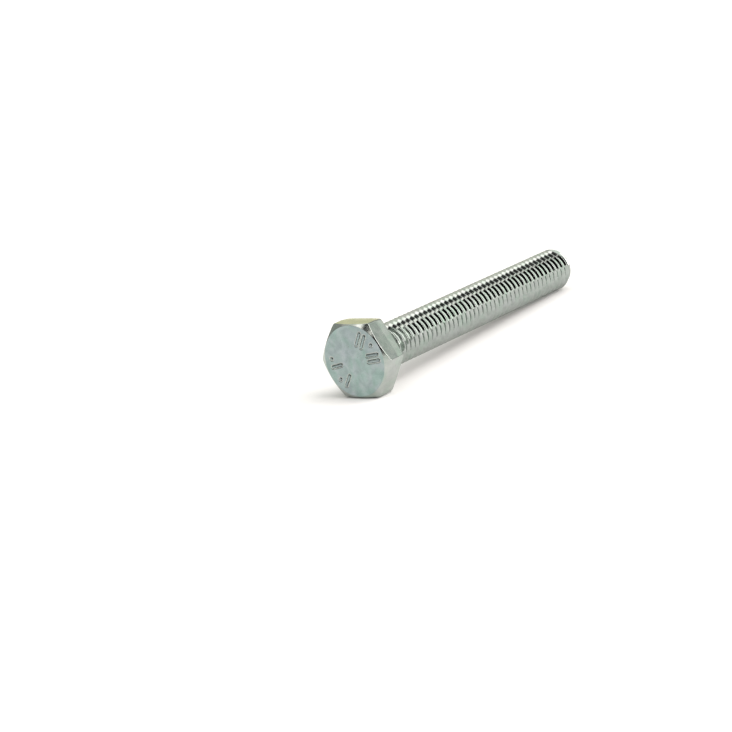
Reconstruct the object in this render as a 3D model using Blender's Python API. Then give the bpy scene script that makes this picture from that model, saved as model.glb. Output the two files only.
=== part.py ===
"""Fully threaded M6 x 45 hex bolt, modelled as the single forged and rolled piece it is.

The bolt lies along +X: the bearing face under the head is the plane x = 0, the head
reaches back to x = -3.95 mm and the tip forward to x = 45 mm. A flat of the hexagon faces
up (+Z) and one faces down. The thread is right-handed, as on the real bolt.
"""

import math

import bmesh
import bpy

MM = 0.001

THREAD_PITCH = 1.0 * MM
CREST_RADIUS = 2.94 * MM
ROOT_RADIUS = 2.39 * MM
NECK_RADIUS = 2.66 * MM
SHANK_LENGTH = 45.0 * MM

ACROSS_FLATS = 9.9 * MM
HEAD_HEIGHT = 3.95 * MM
TOP_CIRCLE_RADIUS = 0.485 * ACROSS_FLATS
HEAD_CHAMFER = math.radians(30.0)
WASHER_FACE_RADIUS = 4.45 * MM
WASHER_FACE_HEIGHT = 0.4 * MM

FILLET_RADIUS = 0.25 * MM
RUN_OUT_START = 1.0 * MM
RUN_OUT_LENGTH = 1.8 * MM
TIP_FACE_RADIUS = 2.1 * MM
TIP_CHAMFER = math.radians(45.0)

SEGMENTS = 24
# Where the crest starts and ends and the root starts and ends, in pitches.
PROFILE_STEPS = (0.0, 0.17, 0.47, 0.70)
PROFILE_IS_CREST = (True, True, False, False)
# No thread point comes nearer than this to either end ring, in pitches.
END_GAP = 0.09

ZINC_COLOUR = (0.62, 0.65, 0.64, 1.0)


def clear_scene():
    for old in list(bpy.data.objects):
        bpy.data.objects.remove(old, do_unlink=True)


def angle_of(step):
    return 2.0 * math.pi * step / SEGMENTS


def point_at(x, radius, angle):
    return (x, radius * math.cos(angle), radius * math.sin(angle))


def hexagon_radius(angle):
    """Distance from the axis to the hexagon's side, with flats at the top and bottom."""
    half_side = math.radians(30.0)
    from_corner = abs((angle + half_side) % (2.0 * half_side) - half_side)
    return 0.5 * ACROSS_FLATS / math.cos(half_side - from_corner)


def chamfer_edge_x(angle):
    """Where the conical head chamfer meets the hexagon's side."""
    beyond = hexagon_radius(angle) - TOP_CIRCLE_RADIUS
    return -HEAD_HEIGHT + beyond * math.tan(HEAD_CHAMFER)


def smooth_ramp(value):
    value = min(max(value, 0.0), 1.0)
    return value * value * (3.0 - 2.0 * value)


def thread_radius(x, is_crest):
    """Radius of a crest or root point, after the run-out and the tip chamfer."""
    full = CREST_RADIUS if is_crest else ROOT_RADIUS
    depth = smooth_ramp((x - RUN_OUT_START) / RUN_OUT_LENGTH)
    radius = NECK_RADIUS + depth * (full - NECK_RADIUS)
    tip_limit = TIP_FACE_RADIUS + (SHANK_LENGTH - x) * math.tan(TIP_CHAMFER)
    return min(radius, tip_limit)


def add_ring(mesh, x_of, radius_of):
    """One closed ring of points, given its x and its radius at each angle."""
    ring = []
    for step in range(SEGMENTS):
        angle = angle_of(step)
        ring.append(mesh.verts.new(point_at(x_of(angle), radius_of(angle), angle)))
    return ring


def add_round_ring(mesh, x, radius):
    return add_ring(mesh, lambda angle: x, lambda angle: radius)


def join_rings(mesh, first, second):
    for step in range(SEGMENTS):
        after = (step + 1) % SEGMENTS
        mesh.faces.new((first[step], first[after], second[after], second[step]))


def cap_ring(mesh, ring, x):
    centre = mesh.verts.new((x, 0.0, 0.0))
    for step in range(SEGMENTS):
        mesh.faces.new((ring[step], ring[(step + 1) % SEGMENTS], centre))


def add_head(mesh):
    """The hexagon, its top chamfer and its washer face; returns the ring at the neck."""
    top = add_round_ring(mesh, -HEAD_HEIGHT, TOP_CIRCLE_RADIUS)
    chamfer = add_ring(mesh, chamfer_edge_x, hexagon_radius)
    side_end = add_ring(mesh, lambda angle: -WASHER_FACE_HEIGHT, hexagon_radius)
    washer_start = add_round_ring(mesh, -WASHER_FACE_HEIGHT, WASHER_FACE_RADIUS)
    washer_end = add_round_ring(mesh, 0.0, WASHER_FACE_RADIUS)
    fillet_start = add_round_ring(mesh, 0.0, NECK_RADIUS + FILLET_RADIUS)
    fillet_end = add_round_ring(mesh, FILLET_RADIUS, NECK_RADIUS)
    rings = (top, chamfer, side_end, washer_start, washer_end, fillet_start, fillet_end)
    cap_ring(mesh, top, -HEAD_HEIGHT)
    for first, second in zip(rings, rings[1:]):
        join_rings(mesh, first, second)
    return fillet_end


def profile_x(index, step):
    """Axial place of thread point number index, at an angular step round the helix."""
    turn, corner = divmod(index, len(PROFILE_STEPS))
    return THREAD_PITCH * (turn + PROFILE_STEPS[corner] + step / SEGMENTS)


def add_thread_column(mesh, step):
    """The thread points at one angle, from the neck to the tip, keyed by their number."""
    low = FILLET_RADIUS + END_GAP * THREAD_PITCH
    high = SHANK_LENGTH - END_GAP * THREAD_PITCH
    corners = len(PROFILE_STEPS)
    last = corners * (int(SHANK_LENGTH / THREAD_PITCH) + 1)
    column = {}
    for index in range(-corners, last):
        x = profile_x(index, step)
        if low < x < high:
            radius = thread_radius(x, PROFILE_IS_CREST[index % corners])
            column[index] = mesh.verts.new(point_at(x, radius, angle_of(step)))
    return column


def join_columns(mesh, near, far, near_ends, far_ends):
    """Fill the strip between one column of thread points and the next one round."""
    near_first, near_last = min(near), max(near)
    far_first, far_last = min(far), max(far)
    start_fan = [far_ends[0]]
    start_fan += [far[index] for index in range(far_first, near_first + 1)]
    start_fan.append(near[near_first])
    add_fan(mesh, near_ends[0], start_fan)
    for index in range(near_first, far_last):
        mesh.faces.new((near[index], far[index], far[index + 1], near[index + 1]))
    end_fan = [far[far_last]]
    end_fan += [near[index] for index in range(far_last, near_last + 1)]
    end_fan.append(near_ends[1])
    add_fan(mesh, far_ends[1], end_fan)


def add_fan(mesh, hub, rim):
    for first, second in zip(rim, rim[1:]):
        mesh.faces.new((hub, first, second))


def add_thread(mesh, neck_ring):
    """The helical thread from the neck ring to the chamfered tip."""
    tip_ring = add_round_ring(mesh, SHANK_LENGTH, TIP_FACE_RADIUS)
    columns = [add_thread_column(mesh, step) for step in range(SEGMENTS)]
    # One turn further round, the first column comes again one pitch later.
    corners = len(PROFILE_STEPS)
    columns.append({index - corners: point for index, point in columns[0].items()})
    for step in range(SEGMENTS):
        after = (step + 1) % SEGMENTS
        near_ends = (neck_ring[step], tip_ring[step])
        far_ends = (neck_ring[after], tip_ring[after])
        join_columns(mesh, columns[step], columns[step + 1], near_ends, far_ends)
    cap_ring(mesh, tip_ring, SHANK_LENGTH)


def zinc_material():
    material = bpy.data.materials.new("zinc_plated_steel")
    material.use_nodes = True
    shader = material.node_tree.nodes["Principled BSDF"]
    shader.inputs["Base Color"].default_value = ZINC_COLOUR
    shader.inputs["Metallic"].default_value = 1.0
    shader.inputs["Roughness"].default_value = 0.28
    material.diffuse_color = ZINC_COLOUR
    return material


def add_bolt():
    mesh = bmesh.new()
    neck_ring = add_head(mesh)
    add_thread(mesh, neck_ring)
    bmesh.ops.triangulate(mesh, faces=mesh.faces[:])
    bmesh.ops.recalc_face_normals(mesh, faces=mesh.faces[:])
    data = bpy.data.meshes.new("hex_bolt")
    mesh.to_mesh(data)
    mesh.free()
    data.materials.append(zinc_material())
    bolt = bpy.data.objects.new("hex_bolt", data)
    bpy.context.scene.collection.objects.link(bolt)


clear_scene()
add_bolt()
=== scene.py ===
"""The hex bolt as a finished picture: fine thread, forged head and bright zinc plating.

Lengths are in millimetres in the constants and in metres in the scene. The frame is the
CAD's: the bolt's axis is X, the bearing face is x = 0, the head lies towards -X.
"""

import math
import random

import bmesh
import bpy
from mathutils import Matrix, Vector, noise


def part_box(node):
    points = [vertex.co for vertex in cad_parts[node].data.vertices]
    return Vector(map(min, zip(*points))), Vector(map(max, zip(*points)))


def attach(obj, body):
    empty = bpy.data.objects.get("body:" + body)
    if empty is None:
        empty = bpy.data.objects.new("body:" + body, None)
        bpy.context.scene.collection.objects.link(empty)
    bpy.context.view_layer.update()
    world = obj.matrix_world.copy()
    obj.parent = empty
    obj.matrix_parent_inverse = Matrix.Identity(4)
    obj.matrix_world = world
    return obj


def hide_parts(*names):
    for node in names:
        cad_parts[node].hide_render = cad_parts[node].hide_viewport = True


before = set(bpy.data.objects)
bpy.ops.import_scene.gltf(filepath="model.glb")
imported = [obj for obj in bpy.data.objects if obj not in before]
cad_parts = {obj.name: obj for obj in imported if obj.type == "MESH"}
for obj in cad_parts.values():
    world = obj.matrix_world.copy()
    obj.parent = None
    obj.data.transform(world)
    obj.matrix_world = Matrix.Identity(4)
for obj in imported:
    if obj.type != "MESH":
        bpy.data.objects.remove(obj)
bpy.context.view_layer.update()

MM = 0.001
NODE = "hex_bolt"
BOX_LOW, BOX_HIGH = [Vector(corner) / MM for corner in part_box(NODE)]

# The overall sizes come from the frame, in millimetres. The raised marks reach its low end.
MARK_HEIGHT = 0.1
HEAD_TOP_X = BOX_LOW.x + MARK_HEIGHT
SHANK_LENGTH = BOX_HIGH.x
ACROSS_FLATS = BOX_HIGH.z - BOX_LOW.z

# Head, in millimetres.
TOP_CIRCLE_RADIUS = 0.485 * ACROSS_FLATS
HEAD_CHAMFER = math.radians(30.0)
HALF_SIDE = math.radians(30.0)
# How far a sharp corner of the hexagon stands out beyond its flats, as a share.
CORNER_EXCESS = 1.0 / math.cos(HALF_SIDE) - 1.0
CORNER_ROUNDING = 0.30
TOP_EDGE_SOFTNESS = 0.03
TOP_RIM_WIDTH = 0.12
SIDE_EDGE_SOFTNESS = 0.05
BEVEL_SOFTNESS = 0.16
BEARING_EDGE_SOFTNESS = 0.2
BEVEL_START = -1.75
BEVEL_DEPTH = 0.07
BEARING_CORNER_CUT = 0.08
WASHER_FACE_RADIUS = 4.45
WASHER_FACE_HEIGHT = 0.4
WASHER_EDGE_SOFTNESS = 0.14
WASHER_ROOT_SOFTNESS = 0.06
WASHER_EDGE_SLOPE = 0.04
NECK_RADIUS = 2.66
NECK_FILLET = 0.28
NECK_START = 0.34

# Thread and tip, in millimetres.
THREAD_PITCH = 1.0
CREST_RADIUS = 2.94
ROOT_RADIUS = 2.39
CREST_WIDTH = 0.13
ROOT_WIDTH = 0.235
CREST_SOFTNESS = 0.07
ROOT_SOFTNESS = 0.11
RUN_OUT_START = 0.7
RUN_OUT_LENGTH = 2.1
TIP_FACE_RADIUS = 2.1
TIP_CHAMFER = math.radians(45.0)
TIP_EDGE_SOFTNESS = 0.06
TIP_CREST_SOFTNESS = 0.12
TIP_RIM_WIDTH = 0.2
TIP_HOLLOW = 0.03
TIP_HOLLOW_INSET, TIP_HOLLOW_SLOPE = 0.15, 1.2
TIP_WAVE = 0.012
TIP_WAVES_PER_MM = 1.1
TIP_WAVE_PLACE = 8.3
TIP_WAVE_INSET, TIP_WAVE_FADE = 0.1, 0.4
# No thread point comes nearer than this to the ring at either end.
END_GAP = 0.05
NECK_RING_GAP = 0.02

# How finely each region is divided.
HEAD_STEPS = 312
THREAD_STEPS = 52
DISC_RINGS = 72
TIP_RINGS = 18
ARC_STEPS = 3

# A softened corner's curve uses at most this share of either side, and its support points
# stand this much further out than the curve's ends.
LONGEST_REACH = 0.42
SUPPORT_REACH = 1.12

# The head's columns crowd towards the corners outside this radius.
CROWDING = math.radians(6.0)
CROWDING_START = 3.9

# Radii, in millimetres, between which the marks on the head's top lie.
BAR_START, BAR_END, BAR_OFFSET = 2.3, 3.95, 0.40
SINGLE_START, SINGLE_END = 2.35, 3.85
DOT_START, DOT_END = 3.72, 3.78

# A mark's ridge, in millimetres from its middle line: the round crown, the slope and the
# ring of painted shade at its foot.
MARK_CORE = 0.04
MARK_SLOPE = 0.18
MARK_SHADE_RING = (0.15, 0.28)
MOAT_RADIUS, MOAT_WIDTH, MOAT_DEPTH = 0.27, 0.11, 0.035

# Knocks and waviness of the head's top, in millimetres.
DENT_COUNT = 11
DENT_SEED = 7
TOP_WAVE = 0.006
TOP_WAVES_PER_MM = 0.45
TOP_WAVE_PLACE = Vector((0.0, 0.0, 3.1))
TOP_CROWN = 0.0022
TOP_FADE = 0.2

# Material numbers, and how close to a region's own surface a face counts as part of it.
HEAD_TOP, HEAD_SIDES, THREAD, SHEARED_END, MARK_SHADE = range(5)
END_DEPTH = 0.05
NEAR = 0.02


def smooth_ramp(value):
    value = min(max(value, 0.0), 1.0)
    return value * value * (3.0 - 2.0 * value)


def blend(first, second, share):
    return first + (second - first) * share


def point_at(x, radius, angle):
    return Vector((x, radius * math.cos(angle), radius * math.sin(angle))) * MM


def softened(corners, softness):
    """A polyline in (x, radius) whose inner corners become short curves.

    softness holds how far each inner corner's curve reaches along its two sides. A support
    point just outside each curve keeps the flats beside it flat when shaded.
    """
    path = [Vector(corners[0])]
    for before, corner, after, reach in zip(corners, corners[1:], corners[2:], softness):
        corner = Vector(corner)
        back = Vector(before) - corner
        ahead = Vector(after) - corner
        reach = min(reach, LONGEST_REACH * back.length, LONGEST_REACH * ahead.length)
        start = corner + back.normalized() * reach
        end = corner + ahead.normalized() * reach
        path.append(corner + back.normalized() * reach * SUPPORT_REACH)
        for step in range(ARC_STEPS + 1):
            share = step / ARC_STEPS
            path.append(start.lerp(corner, share).lerp(corner.lerp(end, share), share))
        path.append(corner + ahead.normalized() * reach * SUPPORT_REACH)
    path.append(Vector(corners[-1]))
    return path


def hexagon_radius(angle):
    """Distance from the axis to the hexagon's side, with softly rounded corners."""
    apothem = 0.5 * ACROSS_FLATS
    from_corner = abs((angle + HALF_SIDE) % (2.0 * HALF_SIDE) - HALF_SIDE)
    centre = (apothem - CORNER_ROUNDING) / math.cos(HALF_SIDE)
    reach_out = centre + CORNER_ROUNDING * math.cos(HALF_SIDE)
    rounded_to = math.atan2(CORNER_ROUNDING * math.sin(HALF_SIDE), reach_out)
    if from_corner >= rounded_to:
        return apothem / math.cos(HALF_SIDE - from_corner)
    sideways = centre * math.sin(from_corner)
    return centre * math.cos(from_corner) + math.sqrt(CORNER_ROUNDING**2 - sideways**2)


def corner_seeking(step):
    """Angle of a head column, with the columns closer together at the corners."""
    even = 2.0 * math.pi * step / HEAD_STEPS
    return even - CROWDING * math.sin(6.0 * even)


def stroke(start, end):
    return (Vector(start), Vector(end))


def polar(radius, degrees):
    angle = math.radians(degrees)
    return Vector((radius * math.cos(angle), radius * math.sin(angle)))


def bar_pair(degrees):
    """Two short parallel bars that point at the head's centre."""
    out = polar(1.0, degrees)
    across = Vector((-out.y, out.x)) * BAR_OFFSET
    bars = []
    for side in (-1.0, 1.0):
        bars.append(stroke(out * BAR_START + across * side, out * BAR_END + across * side))
    return bars


def head_marks():
    """Plain raised marks in the places where such a head carries its stamps.

    They are in millimetres, as seen from above the head: first towards -Y, then +Z.
    """
    marks = bar_pair(62.0) + bar_pair(8.0)
    for degrees in (35.0, 176.0, 222.0):
        marks.append(stroke(polar(DOT_START, degrees), polar(DOT_END, degrees)))
    for degrees in (193.0, 239.0):
        marks.append(stroke(polar(SINGLE_START, degrees), polar(SINGLE_END, degrees)))
    return marks


def distance_to_stroke(point, ends):
    start, end = ends
    along = end - start
    share = (point - start).dot(along) / along.length_squared
    share = min(max(share, 0.0), 1.0)
    return (point - start - along * share).length


def distance_to_marks(point, marks):
    return min(distance_to_stroke(point, ends) for ends in marks)


def mark_height(point, marks):
    nearest = distance_to_marks(point, marks)
    raised = MARK_HEIGHT * smooth_ramp(1.0 - (nearest - MARK_CORE) / MARK_SLOPE)
    moat = MOAT_DEPTH * smooth_ramp(1.0 - abs(nearest - MOAT_RADIUS) / MOAT_WIDTH)
    return raised - moat


def head_dents():
    """Small knocks from the barrel that the bolts are plated in."""
    draws = random.Random(DENT_SEED)
    dents = []
    for _ in range(DENT_COUNT):
        centre = polar(draws.uniform(0.3, 4.3), draws.uniform(0.0, 360.0))
        dents.append((centre, draws.uniform(0.07, 0.16), draws.uniform(0.010, 0.030)))
    return dents


def top_relief(point, marks, dents):
    """Height of the head's top above its plane: marks, knocks and a slight waviness."""
    height = mark_height(point, marks)
    for centre, size, depth in dents:
        height -= depth * smooth_ramp(1.0 - (point - centre).length / size)
    wave = noise.noise((point * TOP_WAVES_PER_MM).to_3d() + TOP_WAVE_PLACE)
    return height + TOP_WAVE * wave - TOP_CROWN * (point.length / 2.0) ** 2


def add_head_top(mesh):
    """The raised and dented disc; returns its outer ring."""
    marks = head_marks()
    dents = head_dents()
    outer = TOP_CIRCLE_RADIUS - TOP_RIM_WIDTH
    centre = mesh.verts.new(point_at(HEAD_TOP_X, 0.0, 0.0))
    rings = []
    for ring_number in range(1, DISC_RINGS + 1):
        radius = outer * ring_number / DISC_RINGS
        seeking = smooth_ramp((radius - CROWDING_START) / (outer - CROWDING_START))
        fade = smooth_ramp((outer - radius) / TOP_FADE)
        ring = []
        for step in range(HEAD_STEPS):
            even = 2.0 * math.pi * step / HEAD_STEPS
            angle = blend(even, corner_seeking(step), seeking)
            seen = Vector((-radius * math.cos(angle), radius * math.sin(angle)))
            height = fade * top_relief(seen, marks, dents)
            ring.append(mesh.verts.new(point_at(HEAD_TOP_X - height, radius, angle)))
        rings.append(ring)
    for step in range(HEAD_STEPS):
        after = (step + 1) % HEAD_STEPS
        mesh.faces.new((rings[0][step], centre, rings[0][after]))
    for inner, outer_ring in zip(rings, rings[1:]):
        join_rings(mesh, inner, outer_ring)
    return rings[-1]


def head_column(angle):
    """Outline of the head at one angle, from the top's rim to the neck, in (x, radius)."""
    side = hexagon_radius(angle)
    chamfer_x = HEAD_TOP_X + (side - TOP_CIRCLE_RADIUS) * math.tan(HEAD_CHAMFER)
    corner_share = (side - 0.5 * ACROSS_FLATS) / (0.5 * ACROSS_FLATS * CORNER_EXCESS)
    bearing_side = side - BEVEL_DEPTH - BEARING_CORNER_CUT * max(corner_share, 0.0) ** 2
    corners = (
        (HEAD_TOP_X, TOP_CIRCLE_RADIUS - TOP_RIM_WIDTH),
        (HEAD_TOP_X, TOP_CIRCLE_RADIUS),
        (chamfer_x, side),
        (BEVEL_START, side),
        (-WASHER_FACE_HEIGHT, bearing_side),
        (-WASHER_FACE_HEIGHT, WASHER_FACE_RADIUS + WASHER_EDGE_SLOPE),
        (0.0, WASHER_FACE_RADIUS - WASHER_EDGE_SLOPE),
        (0.0, NECK_RADIUS),
        (NECK_START, NECK_RADIUS),
    )
    softness = (
        TOP_EDGE_SOFTNESS,
        SIDE_EDGE_SOFTNESS,
        BEVEL_SOFTNESS,
        BEARING_EDGE_SOFTNESS,
        WASHER_ROOT_SOFTNESS,
        WASHER_EDGE_SOFTNESS,
        NECK_FILLET,
    )
    return softened(corners, softness)


def add_head_sides(mesh, rim):
    """Chamfer, flats, washer face and fillet; returns the ring at the neck."""
    columns = []
    for step in range(HEAD_STEPS):
        angle = corner_seeking(step)
        column = []
        for x, radius in head_column(angle)[1:]:
            column.append(mesh.verts.new(point_at(x, radius, angle)))
        columns.append(column)
    before = rim
    for level in range(len(columns[0])):
        ring = [column[level] for column in columns]
        join_rings(mesh, before, ring)
        before = ring
    return before


def join_rings(mesh, first, second):
    count = len(first)
    for step in range(count):
        after = (step + 1) % count
        mesh.faces.new((first[step], first[after], second[after], second[step]))


def thread_profile():
    """One pitch of the thread's outline in (x, radius), crest first, softened."""
    crest = 0.5 * CREST_WIDTH
    root = 0.5 * ROOT_WIDTH
    middle = 0.5 * THREAD_PITCH
    corners = (
        (0.0, CREST_RADIUS),
        (crest, CREST_RADIUS),
        (middle - root, ROOT_RADIUS),
        (middle + root, ROOT_RADIUS),
        (THREAD_PITCH - crest, CREST_RADIUS),
        (THREAD_PITCH, CREST_RADIUS),
    )
    softness = (CREST_SOFTNESS, ROOT_SOFTNESS, ROOT_SOFTNESS, CREST_SOFTNESS)
    outline = softened(corners, softness)
    return [tuple(point) for point in outline[:-1]]


def soft_minimum(first, second, width):
    overlap = max(width - abs(first - second), 0.0) / width
    return min(first, second) - overlap * overlap * width * 0.25


def thread_radius(x, full):
    """Radius of one thread point, after the run-out at the neck and the tip's chamfer."""
    depth = smooth_ramp((x - RUN_OUT_START) / RUN_OUT_LENGTH)
    radius = blend(NECK_RADIUS, full, depth)
    tip_limit = TIP_FACE_RADIUS + (SHANK_LENGTH - x) * math.tan(TIP_CHAMFER)
    return soft_minimum(radius, tip_limit, TIP_CREST_SOFTNESS)


def thread_columns(mesh, profile):
    """Thread points at each angle, keyed by their number along the helix's outline."""
    low = NECK_START + END_GAP
    high = SHANK_LENGTH - TIP_EDGE_SOFTNESS - END_GAP
    count = len(profile)
    last = count * (int(SHANK_LENGTH / THREAD_PITCH) + 1)
    columns = []
    for step in range(THREAD_STEPS):
        angle = 2.0 * math.pi * step / THREAD_STEPS
        column = {}
        for index in range(-count, last):
            turn, corner = divmod(index, count)
            x = THREAD_PITCH * (turn + step / THREAD_STEPS) + profile[corner][0]
            if low < x < high:
                radius = thread_radius(x, profile[corner][1])
                column[index] = mesh.verts.new(point_at(x, radius, angle))
        columns.append(column)
    columns.append({index - count: point for index, point in columns[0].items()})
    return columns


def add_fan(mesh, hub, rim):
    for first, second in zip(rim, rim[1:]):
        mesh.faces.new((hub, first, second))


def join_columns(mesh, near, far, near_ends, far_ends):
    """Fill the strip between one column of thread points and the next one round."""
    near_first, near_last = min(near), max(near)
    far_first, far_last = min(far), max(far)
    start_fan = [far_ends[0]]
    start_fan += [far[index] for index in range(far_first, near_first + 1)]
    start_fan.append(near[near_first])
    add_fan(mesh, near_ends[0], start_fan)
    for index in range(near_first, far_last):
        mesh.faces.new((near[index], far[index], far[index + 1], near[index + 1]))
    end_fan = [far[far_last]]
    end_fan += [near[index] for index in range(far_last, near_last + 1)]
    end_fan.append(near_ends[1])
    add_fan(mesh, far_ends[1], end_fan)


def add_neck_ring(mesh, head_ring):
    """A ring with the thread's coarser division, joined to the head's finer last ring."""
    x = NECK_START + NECK_RING_GAP
    ring = []
    for step in range(THREAD_STEPS):
        angle = 2.0 * math.pi * step / THREAD_STEPS
        ring.append(mesh.verts.new(point_at(x, NECK_RADIUS, angle)))
    finer = HEAD_STEPS // THREAD_STEPS
    for step in range(THREAD_STEPS):
        after = (step + 1) % THREAD_STEPS
        first = step * finer
        fine = [head_ring[(first + part) % HEAD_STEPS] for part in range(finer + 1)]
        middle = finer // 2
        add_fan(mesh, ring[step], fine[: middle + 1][::-1])
        mesh.faces.new((ring[step], ring[after], fine[middle]))
        add_fan(mesh, ring[after], fine[middle:][::-1])
    return ring


def add_tip(mesh):
    """The chamfer's last rings and the sheared end face; returns the outermost ring."""
    rings = []
    outline = softened(
        (
            (SHANK_LENGTH - TIP_EDGE_SOFTNESS, TIP_FACE_RADIUS + TIP_EDGE_SOFTNESS),
            (SHANK_LENGTH, TIP_FACE_RADIUS),
            (SHANK_LENGTH, TIP_FACE_RADIUS - TIP_RIM_WIDTH),
        ),
        (TIP_EDGE_SOFTNESS,),
    )
    for x, radius in outline:
        rings.append(tip_ring(mesh, x, radius))
    for number in range(1, TIP_RINGS):
        radius = (TIP_FACE_RADIUS - TIP_RIM_WIDTH) * (1.0 - number / TIP_RINGS)
        rings.append(tip_ring(mesh, SHANK_LENGTH, radius))
    for outer, inner in zip(rings, rings[1:]):
        join_rings(mesh, outer, inner)
    centre = mesh.verts.new(point_at(SHANK_LENGTH - TIP_HOLLOW, 0.0, 0.0))
    for step in range(THREAD_STEPS):
        mesh.faces.new((rings[-1][step], rings[-1][(step + 1) % THREAD_STEPS], centre))
    return rings[0]


def tip_ring(mesh, x, radius):
    """One ring of the end, a little hollow and uneven inside its edge, as a sheared end is."""
    ring = []
    inside = TIP_FACE_RADIUS - radius
    hollow = TIP_HOLLOW * smooth_ramp((inside - TIP_HOLLOW_INSET) / TIP_HOLLOW_SLOPE)
    fade = smooth_ramp((inside - TIP_WAVE_INSET) / TIP_WAVE_FADE)
    for step in range(THREAD_STEPS):
        angle = 2.0 * math.pi * step / THREAD_STEPS
        place = point_at(0.0, radius, angle) / MM * TIP_WAVES_PER_MM
        wave = TIP_WAVE * noise.noise(Vector((place.y, place.z, TIP_WAVE_PLACE)))
        depth = hollow + abs(wave) * fade
        ring.append(mesh.verts.new(point_at(x - depth, radius, angle)))
    return ring


def add_shank(mesh, head_ring):
    neck_ring = add_neck_ring(mesh, head_ring)
    tip_edge = add_tip(mesh)
    columns = thread_columns(mesh, thread_profile())
    for step in range(THREAD_STEPS):
        after = (step + 1) % THREAD_STEPS
        near_ends = (neck_ring[step], tip_edge[step])
        far_ends = (neck_ring[after], tip_edge[after])
        join_columns(mesh, columns[step], columns[step + 1], near_ends, far_ends)


def sort_materials(mesh):
    """Gives each face the plating of its region, and shades it smooth."""
    marks = head_marks()
    for face in mesh.faces:
        centre = face.calc_center_median() / MM
        radius = math.hypot(centre.y, centre.z)
        if centre.x > SHANK_LENGTH - END_DEPTH and radius < TIP_FACE_RADIUS - NEAR:
            face.material_index = SHEARED_END
        elif centre.x > NEAR:
            face.material_index = THREAD
        elif centre.x < HEAD_TOP_X + NEAR and radius < TOP_CIRCLE_RADIUS:
            # Faces in a ring round each mark's foot get a near-black plating: painted shade.
            nearest = distance_to_marks(Vector((-centre.y, centre.z)), marks)
            in_painted_shade = MARK_SHADE_RING[0] < nearest < MARK_SHADE_RING[1]
            face.material_index = MARK_SHADE if in_painted_shade else HEAD_TOP
        else:
            face.material_index = HEAD_SIDES
        face.smooth = True


class Nodes:
    """A material's node tree with short helpers."""

    def __init__(self, name):
        self.material = bpy.data.materials.new(name)
        self.material.use_nodes = True
        self.tree = self.material.node_tree
        self.shader = self.tree.nodes["Principled BSDF"]
        coordinates = self.tree.nodes.new("ShaderNodeTexCoord")
        self.place = coordinates.outputs["Object"]

    def link(self, source, target):
        self.tree.links.new(source, target)

    def stretched(self, scale):
        mapping = self.tree.nodes.new("ShaderNodeMapping")
        mapping.inputs["Scale"].default_value = scale
        self.link(self.place, mapping.inputs["Vector"])
        return mapping.outputs["Vector"]

    def noise(self, feature, detail=3.0, place=None, warp=0.0):
        """Noise whose blobs are about feature millimetres wide."""
        node = self.tree.nodes.new("ShaderNodeTexNoise")
        node.inputs["Scale"].default_value = 1.0 / (feature * MM)
        node.inputs["Detail"].default_value = detail
        node.inputs["Distortion"].default_value = warp
        self.link(place or self.place, node.inputs["Vector"])
        return node.outputs["Fac"]

    def cells(self, feature):
        node = self.tree.nodes.new("ShaderNodeTexVoronoi")
        node.inputs["Scale"].default_value = 1.0 / (feature * MM)
        self.link(self.place, node.inputs["Vector"])
        return node.outputs["Distance"]

    def ramp(self, value, stops):
        node = self.tree.nodes.new("ShaderNodeValToRGB")
        self.link(value, node.inputs["Fac"])
        elements = node.color_ramp.elements
        while len(elements) < len(stops):
            elements.new(0.5)
        for element, (position, colour) in zip(elements, stops):
            element.position = position
            element.color = (*colour, 1.0)
        return node.outputs["Color"]

    def spread(self, value, low, high, start=0.3, end=0.7):
        """Maps the middle of a texture's range onto low to high."""
        node = self.tree.nodes.new("ShaderNodeMapRange")
        node.inputs["From Min"].default_value = start
        node.inputs["From Max"].default_value = end
        node.inputs["To Min"].default_value = low
        node.inputs["To Max"].default_value = high
        self.link(value, node.inputs["Value"])
        return node.outputs["Result"]

    def mixed(self, share, first, second, kind="MIX"):
        node = self.tree.nodes.new("ShaderNodeMix")
        node.data_type = "RGBA"
        node.blend_type = kind
        inputs = (("Factor_Float", share), ("A_Color", first), ("B_Color", second))
        for socket, source in inputs:
            target = next(s for s in node.inputs if s.identifier == socket)
            if isinstance(source, (int, float, tuple)):
                target.default_value = source
            else:
                self.link(source, target)
        return next(s for s in node.outputs if s.identifier == "Result_Color")

    def bump(self, height, depth, normal=None):
        """Bump whose full range is depth millimetres."""
        node = self.tree.nodes.new("ShaderNodeBump")
        node.inputs["Distance"].default_value = depth * MM
        self.link(height, node.inputs["Height"])
        if normal:
            self.link(normal, node.inputs["Normal"])
        return node.outputs["Normal"]


# Sizes of the plating's features, in millimetres, and the tints of its thin film.
FILM_SIZE = 2.4
HAZE_SIZE = 0.55
GRAIN_SIZE = 0.09
PIT_SPACING = 0.33
WAVE_SIZE = 2.6
WHITE = (1.0, 1.0, 1.0)
FILM_COLOURS = ((0.36, (0.82, 1.0, 0.90)), (0.5, WHITE), (0.62, (0.98, 0.93, 1.0)))
EVEN = (1.0, 1.0, 1.0)

# Painted shade in the thread's roots: heights above the root's radius, in millimetres, and its
# tone.
ROOT_SHADE_START, ROOT_SHADE_END = 0.02, 0.17
ROOT_SHADE_TONE = (0.24, 0.25, 0.245)


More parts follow.
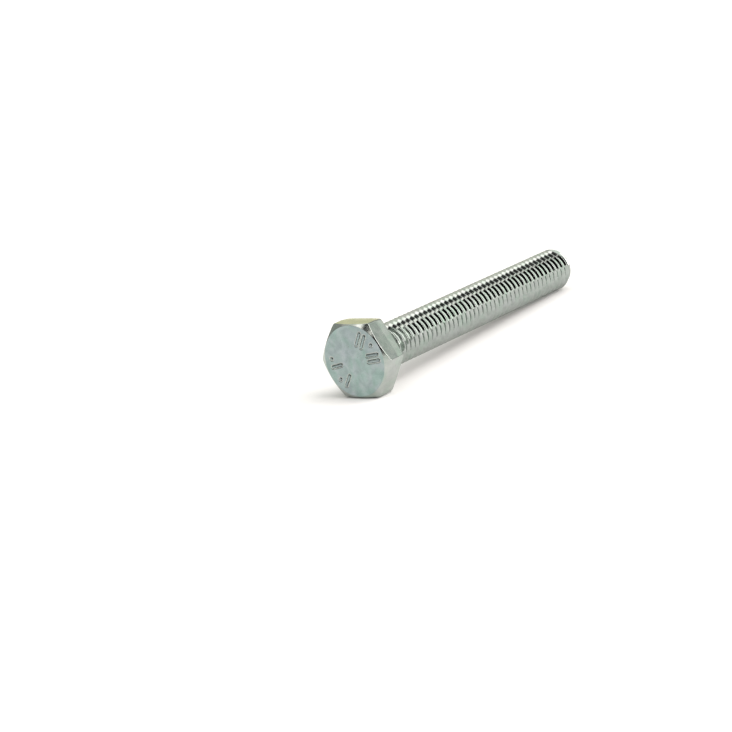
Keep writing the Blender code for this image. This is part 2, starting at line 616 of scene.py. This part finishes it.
def zinc(
    name, tones, roughness, blotch, film, pit_depth, grain_depth, waviness=0.0, grain=EVEN
):
    """Bright zinc plating: blotchy tone, uneven gloss, fine grain and small pits.

    blotch is the blotches' size, film the strength of the tint, and the depths are those of
    the bumps, with all sizes in millimetres; grain scales the fine grain along each axis.
    """
    nodes = Nodes(name)
    dark, middle, light = tones
    blotches = nodes.noise(blotch, 4.0, warp=0.4)
    colour = nodes.ramp(blotches, ((0.34, dark), (0.5, middle), (0.66, light)))
    tint = nodes.ramp(nodes.noise(FILM_SIZE, 2.0, warp=1.2), FILM_COLOURS)
    colour = nodes.mixed(film, colour, tint, "MULTIPLY")
    nodes.link(colour, nodes.shader.inputs["Base Color"])
    haze = nodes.noise(HAZE_SIZE, 5.0, warp=0.3)
    gloss = nodes.spread(haze, roughness[0], roughness[1])
    nodes.link(gloss, nodes.shader.inputs["Roughness"])
    fine = nodes.noise(GRAIN_SIZE, 4.0, place=nodes.stretched(grain))
    normal = nodes.bump(fine, grain_depth)
    if waviness:
        normal = nodes.bump(nodes.noise(WAVE_SIZE, 1.0), waviness, normal)
    pits = nodes.spread(nodes.cells(PIT_SPACING), 0.0, 1.0, 0.05, 0.22)
    normal = nodes.bump(pits, pit_depth, normal)
    nodes.link(normal, nodes.shader.inputs["Normal"])
    nodes.shader.inputs["Metallic"].default_value = 1.0
    return nodes


def paint_root_shade(nodes):
    """Painted shade in the thread's roots: darken by distance from the axis."""
    parts = nodes.tree.nodes.new("ShaderNodeSeparateXYZ")
    nodes.link(nodes.place, parts.inputs["Vector"])
    across = nodes.tree.nodes.new("ShaderNodeCombineXYZ")
    nodes.link(parts.outputs["Y"], across.inputs["Y"])
    nodes.link(parts.outputs["Z"], across.inputs["Z"])
    length = nodes.tree.nodes.new("ShaderNodeVectorMath")
    length.operation = "LENGTH"
    nodes.link(across.outputs["Vector"], length.inputs[0])
    low = (ROOT_RADIUS + ROOT_SHADE_START) * MM
    high = (ROOT_RADIUS + ROOT_SHADE_END) * MM
    share = nodes.spread(length.outputs["Value"], 0.0, 1.0, low, high)
    shade = nodes.ramp(share, ((0.0, ROOT_SHADE_TONE), (1.0, WHITE)))
    base = nodes.shader.inputs["Base Color"]
    plating = base.links[0].from_socket
    nodes.link(nodes.mixed(1.0, plating, shade, "MULTIPLY"), base)


def bolt_materials():
    """The platings in the order of the material numbers."""
    # The head's top gets darker tones than the sides and thread of the same plating: painted
    # shade.
    top = zinc(
        "zinc_head_top_painted_shade",
        tones=((0.245, 0.305, 0.300), (0.285, 0.350, 0.342), (0.335, 0.390, 0.392)),
        roughness=(0.15, 0.23),
        blotch=1.3,
        film=0.5,
        pit_depth=0.004,
        grain_depth=0.0016,
    )
    sides = zinc(
        "zinc_head_sides",
        tones=((0.36, 0.40, 0.37), (0.40, 0.435, 0.405), (0.44, 0.47, 0.44)),
        roughness=(0.13, 0.22),
        blotch=1.1,
        film=0.3,
        pit_depth=0.004,
        grain_depth=0.0016,
        waviness=0.03,
        grain=(0.35, 1.0, 1.0),
    )
    thread = zinc(
        "zinc_thread",
        tones=((0.347, 0.383, 0.356), (0.387, 0.425, 0.398), (0.427, 0.463, 0.438)),
        roughness=(0.05, 0.11),
        blotch=0.7,
        film=0.3,
        pit_depth=0.001,
        grain_depth=0.0008,
    )
    # Painted shade darkens the thread's roots.
    paint_root_shade(thread)
    end = zinc(
        "zinc_sheared_end",
        tones=((0.46, 0.46, 0.37), (0.54, 0.54, 0.43), (0.62, 0.61, 0.50)),
        roughness=(0.34, 0.48),
        blotch=0.6,
        film=0.4,
        pit_depth=0.004,
        grain_depth=0.003,
    )
    # A near-black copy of the plating for the ring round the marks' foot: painted shade.
    painted_mark_shade = zinc(
        "zinc_mark_painted_shade",
        tones=((0.035, 0.045, 0.045), (0.06, 0.075, 0.07), (0.10, 0.12, 0.115)),
        roughness=(0.20, 0.30),
        blotch=0.5,
        film=0.4,
        pit_depth=0.004,
        grain_depth=0.0016,
    )
    return top, sides, thread, end, painted_mark_shade


def add_bolt():
    mesh = bmesh.new()
    rim = add_head_top(mesh)
    head_ring = add_head_sides(mesh, rim)
    add_shank(mesh, head_ring)
    bmesh.ops.recalc_face_normals(mesh, faces=mesh.faces[:])
    sort_materials(mesh)
    data = bpy.data.meshes.new("zinc_plated_bolt")
    mesh.to_mesh(data)
    mesh.free()
    for nodes in bolt_materials():
        data.materials.append(nodes.material)
    bolt = bpy.data.objects.new("zinc_plated_bolt", data)
    bpy.context.scene.collection.objects.link(bolt)
    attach(bolt, "root")
    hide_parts(NODE)


# The floor, in millimetres except its size, which is in metres.
FLOOR_SIZE = 3.0
FLOOR_GAP = 0.01
LAST_CREST = 1.0


def floor_material():
    nodes = Nodes("pale_floor")
    specks = nodes.noise(6.0, 3.0)
    colour = nodes.ramp(specks, ((0.3, (0.86, 0.86, 0.86)), (0.7, (0.88, 0.88, 0.88))))
    nodes.link(colour, nodes.shader.inputs["Base Color"])
    nodes.shader.inputs["Roughness"].default_value = 0.85
    nodes.shader.inputs["Specular IOR Level"].default_value = 0.1
    return nodes.material


def add_floor():
    """A plane through the two places where the loose bolt touches the table.

    They are the bearing-side edge of the lower flat and the lowest crest near the tip.
    """
    head_touch = Vector((-WASHER_FACE_HEIGHT, 0.0, -0.5 * ACROSS_FLATS))
    tip_touch = Vector((SHANK_LENGTH - LAST_CREST, 0.0, -CREST_RADIUS))
    slope = math.atan2(tip_touch.z - head_touch.z, tip_touch.x - head_touch.x)
    data = bpy.data.meshes.new("floor")
    signs = ((-1, -1), (1, -1), (1, 1), (-1, 1))
    corners = [(FLOOR_SIZE * x, FLOOR_SIZE * y, 0.0) for x, y in signs]
    data.from_pydata(corners, [], [(0, 1, 2, 3)])
    data.materials.append(floor_material())
    floor = bpy.data.objects.new("floor", data)
    place = Matrix.Translation((head_touch + Vector((0.0, 0.0, -FLOOR_GAP))) * MM)
    floor.matrix_world = place @ Matrix.Rotation(-slope, 4, "Y")
    bpy.context.scene.collection.objects.link(floor)


def direction(azimuth, elevation):
    """Unit vector towards a place round the bolt; azimuth 0 is towards -Y, 90 towards +X."""
    turn = math.radians(azimuth)
    rise = math.radians(elevation)
    level = math.cos(rise)
    return Vector((math.sin(turn) * level, -math.cos(turn) * level, math.sin(rise)))


# The studio as seen from the bolt. Each patch has its middle azimuth, half width, lowest and
# highest elevation and the softness of its edge, all in degrees, and then its light. Later
# patches cover earlier ones.
STUDIO_BASE = (0.50, 0.50, 0.49)
STUDIO = (
    ("ceiling", 0.0, 181.0, 50.0, 91.0, 7.0, (1.55, 1.55, 1.5)),
    ("key_softbox", 16.0, 26.0, 2.0, 74.0, 3.0, (5.25, 4.95, 4.85)),
    ("right_wall", 49.0, 11.0, 12.0, 40.0, 1.5, (0.68, 0.72, 0.68)),
    ("right_panel", 67.0, 7.0, 10.0, 42.0, 1.5, (1.15, 1.20, 1.12)),
    ("far_wall", 131.0, 34.0, -2.0, 27.0, 7.0, (0.90, 0.88, 0.57)),
    ("left_wall", -134.0, 14.0, 24.0, 40.0, 2.0, (1.20, 1.15, 1.08)),
    ("side_softbox", -115.0, 8.0, 23.0, 48.0, 1.5, (2.6, 2.45, 2.4)),
    ("dark_room", -69.0, 40.0, -6.5, 36.0, 1.0, (0.010, 0.011, 0.010)),
    ("side_screen", -99.5, 8.5, 30.2, 40.0, 1.0, (0.05, 0.05, 0.05)),
    ("side_gap", -89.4, 5.4, 27.0, 32.0, 0.7, (2.1, 2.0, 1.9)),
)
# What the camera sees behind the bolt.
PALE_WALL = (0.98, 0.98, 0.975, 1.0)


class WorldNodes:
    """The world's node tree, with the direction as azimuth and elevation in radians."""

    def __init__(self, tree):
        self.tree = tree
        place = tree.nodes.new("ShaderNodeTexCoord")
        parts = tree.nodes.new("ShaderNodeSeparateXYZ")
        tree.links.new(place.outputs["Generated"], parts.inputs["Vector"])
        back_y = self.math("MULTIPLY", parts.outputs["Y"], -1.0)
        self.azimuth = self.math("ARCTAN2", parts.outputs["X"], back_y)
        self.elevation = self.math("ARCSINE", parts.outputs["Z"])

    def math(self, operation, *values):
        node = self.tree.nodes.new("ShaderNodeMath")
        node.operation = operation
        for socket, value in zip(node.inputs, values):
            if isinstance(value, float):
                socket.default_value = value
            else:
                self.tree.links.new(value, socket)
        return node.outputs["Value"]

    def within(self, value, middle, half, softness):
        """1 where value lies within half of middle, falling to 0 over the soft edge."""
        away = self.math("SUBTRACT", value, math.radians(middle))
        away = self.math("WRAP", away, math.pi, -math.pi)
        away = self.math("ABSOLUTE", away)
        node = self.tree.nodes.new("ShaderNodeMapRange")
        node.interpolation_type = "SMOOTHSTEP"
        node.inputs["From Min"].default_value = math.radians(half - softness)
        node.inputs["From Max"].default_value = math.radians(half + softness)
        node.inputs["To Min"].default_value = 1.0
        node.inputs["To Max"].default_value = 0.0
        self.tree.links.new(away, node.inputs["Value"])
        return node.outputs["Result"]

    def covered(self, below, patch):
        """The colour below, with one patch of the studio laid over it."""
        _, azimuth, half_width, low, high, softness, colour = patch
        across = self.within(self.azimuth, azimuth, half_width, softness)
        upward = self.within(self.elevation, 0.5 * (low + high), 0.5 * (high - low), softness)
        mask = self.math("MULTIPLY", across, upward)
        node = self.tree.nodes.new("ShaderNodeMix")
        node.data_type = "RGBA"
        first, second = [socket for socket in node.inputs if socket.type == "RGBA"]
        self.tree.links.new(mask, node.inputs["Factor"])
        if isinstance(below, tuple):
            first.default_value = (*below, 1.0)
        else:
            self.tree.links.new(below, first)
        second.default_value = (*colour, 1.0)
        return [socket for socket in node.outputs if socket.type == "RGBA"][0]

    def show(self, colour):
        """Light the bolt with the studio, and show a plain pale wall behind it."""
        ray = self.tree.nodes.new("ShaderNodeLightPath")
        wall = self.tree.nodes.new("ShaderNodeBackground")
        wall.inputs["Color"].default_value = PALE_WALL
        studio = self.tree.nodes["Background"]
        self.tree.links.new(colour, studio.inputs["Color"])
        chosen = self.tree.nodes.new("ShaderNodeMixShader")
        self.tree.links.new(ray.outputs["Is Camera Ray"], chosen.inputs["Fac"])
        self.tree.links.new(studio.outputs["Background"], chosen.inputs[1])
        self.tree.links.new(wall.outputs["Background"], chosen.inputs[2])
        surface = self.tree.nodes["World Output"].inputs["Surface"]
        self.tree.links.new(chosen.outputs["Shader"], surface)


def add_world():
    """Studio surroundings with soft lights above and beside the bolt."""
    world = bpy.data.worlds.new("studio")
    bpy.context.scene.world = world
    world.use_nodes = True
    nodes = WorldNodes(world.node_tree)
    colour = STUDIO_BASE
    for patch in STUDIO:
        colour = nodes.covered(colour, patch)
    nodes.show(colour)


# The camera: where it stands round the bolt, in degrees, and its distance and target in
# millimetres.
CAMERA_AZIMUTH = -50.94
CAMERA_ELEVATION = 13.03
CAMERA_ROLL = math.radians(-9.52)
CAMERA_DISTANCE = 348.4
CAMERA_TARGET = Vector((-0.93, 0.60, -1.50))
CAMERA_LENS = 130.87


def add_camera():
    """The camera looks at the head's top from one side and a little from above."""
    data = bpy.data.cameras.new("camera")
    data.lens = CAMERA_LENS
    data.clip_start = 0.01
    data.clip_end = 10.0
    camera = bpy.data.objects.new("camera", data)
    back = direction(CAMERA_AZIMUTH, CAMERA_ELEVATION)
    place = Matrix.Translation((CAMERA_TARGET + back * CAMERA_DISTANCE) * MM)
    upright = back.to_track_quat("Z", "Y").to_matrix().to_4x4()
    camera.matrix_world = place @ upright @ Matrix.Rotation(CAMERA_ROLL, 4, "Z")
    bpy.context.scene.collection.objects.link(camera)
    bpy.context.scene.camera = camera


add_camera()
add_bolt()
add_floor()
add_world()
bpy.context.scene.view_settings.view_transform = "Standard"
